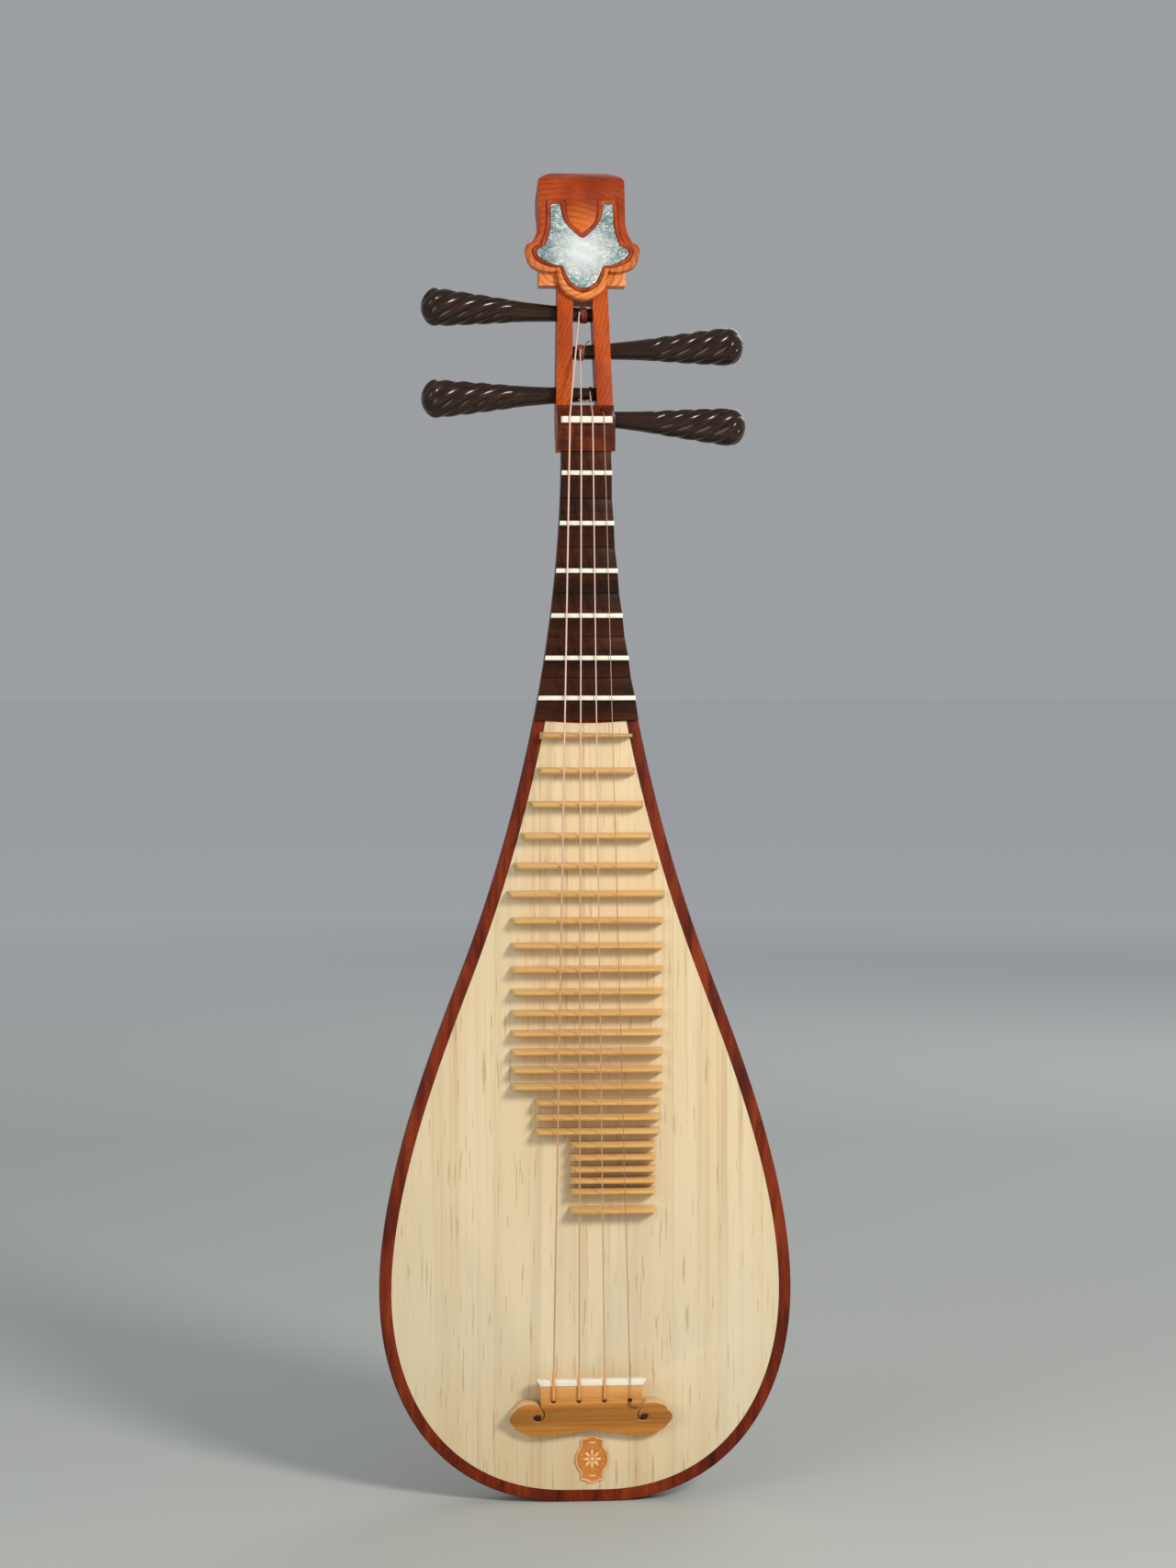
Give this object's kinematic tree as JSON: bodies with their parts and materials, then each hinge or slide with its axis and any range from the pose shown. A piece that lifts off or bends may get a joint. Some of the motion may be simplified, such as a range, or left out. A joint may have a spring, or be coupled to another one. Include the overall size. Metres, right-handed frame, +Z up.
{
  "type": "pipa",
  "caption": "Pear-shaped plucked lute with a bowl back, raised ledges on the neck, bamboo frets, a scroll-eared bridge, fluted pegs and an inlaid head.",
  "frame": {"origin": "centre of the small flat under the bottom end of the bowl", "axes": "+Z up the strings to the head, -Y out of the soundboard towards the player's audience, +X to the right in front view"},
  "size_m": [0.314, 0.1193, 1.0209],
  "materials": {
    "body_wood": "red-brown hardwood under a satin varnish",
    "soundboard_wood": "pale straight-grained paulownia, dry matt",
    "ledge_wood": "very dark hardwood, satin",
    "head_wood": "orange-brown hardwood with open grain, satin",
    "peg_wood": "near-black turned hardwood, glossy",
    "fret_bamboo": "golden bamboo, satin",
    "bridge_bamboo": "brown bamboo with fibres, satin",
    "bone": "polished off-white bone",
    "shell": "polished pale blue-white shell with veins",
    "string": "steel core under a thin wound cover, dull sheen",
    "badge_metal": "stamped copper-coloured metal"
  },
  "bodies": {
    "root": {"body_back": "body_wood", "soundboard": "soundboard_wood", "brace_upper": "soundboard_wood", "brace_middle": "soundboard_wood", "brace_lower": "soundboard_wood", "sound_post": "soundboard_wood", "pegbox": "head_wood", "head_block": "head_wood", "head_plate": "head_wood", "head_border": "body_wood", "head_inlay": "shell", "nut_block": "body_wood", "nut": "bone", "ledge_1": "ledge_wood", "ledge_2": "ledge_wood", "ledge_3": "ledge_wood", "ledge_4": "ledge_wood", "ledge_5": "ledge_wood", "ledge_6": "ledge_wood", "ledge_strip_1": "bone", "ledge_strip_2": "bone", "ledge_strip_3": "bone", "ledge_strip_4": "bone", "ledge_strip_5": "bone", "ledge_strip_6": "bone", "fret_1": "fret_bamboo", "fret_2": "fret_bamboo", "fret_3": "fret_bamboo", "fret_4": "fret_bamboo", "fret_5": "fret_bamboo", "fret_6": "fret_bamboo", "fret_7": "fret_bamboo", "fret_8": "fret_bamboo", "fret_9": "fret_bamboo", "fret_10": "fret_bamboo", "fret_11": "fret_bamboo", "fret_12": "fret_bamboo", "fret_13": "fret_bamboo", "fret_14": "fret_bamboo", "fret_15": "fret_bamboo", "fret_16": "fret_bamboo", "fret_17": "fret_bamboo", "fret_18": "fret_bamboo", "fret_19": "fret_bamboo", "fret_20": "fret_bamboo", "fret_21": "fret_bamboo", "fret_22": "fret_bamboo", "fret_23": "fret_bamboo", "fret_24": "fret_bamboo", "bridge": "bridge_bamboo", "bridge_cap": "bone", "badge": "badge_metal", "string_1": "string", "string_2": "string", "string_3": "string", "string_4": "string"},
    "peg_1": {"peg_1": "peg_wood"},
    "peg_2": {"peg_2": "peg_wood"},
    "peg_3": {"peg_3": "peg_wood"},
    "peg_4": {"peg_4": "peg_wood"}
  },
  "joints": [
    {"name": "peg_1_turn", "type": "hinge", "parent": "root", "child": "peg_1", "pos_m": [0, 0.03856, 0.90776], "axis": [-0.9985, 0.014, 0.0522], "continuous": true},
    {"name": "peg_2_turn", "type": "hinge", "parent": "root", "child": "peg_2", "pos_m": [0, 0.03062, 0.8781], "axis": [0.9987, 0.0131, 0.0489], "continuous": true},
    {"name": "peg_3_turn", "type": "hinge", "parent": "root", "child": "peg_3", "pos_m": [0, 0.02172, 0.84488], "axis": [-0.9995, -0.0086, -0.032], "continuous": true},
    {"name": "peg_4_turn", "type": "hinge", "parent": "root", "child": "peg_4", "pos_m": [0, 0.01685, 0.82672], "axis": [0.9982, -0.0153, -0.0573], "continuous": true}
  ]
}
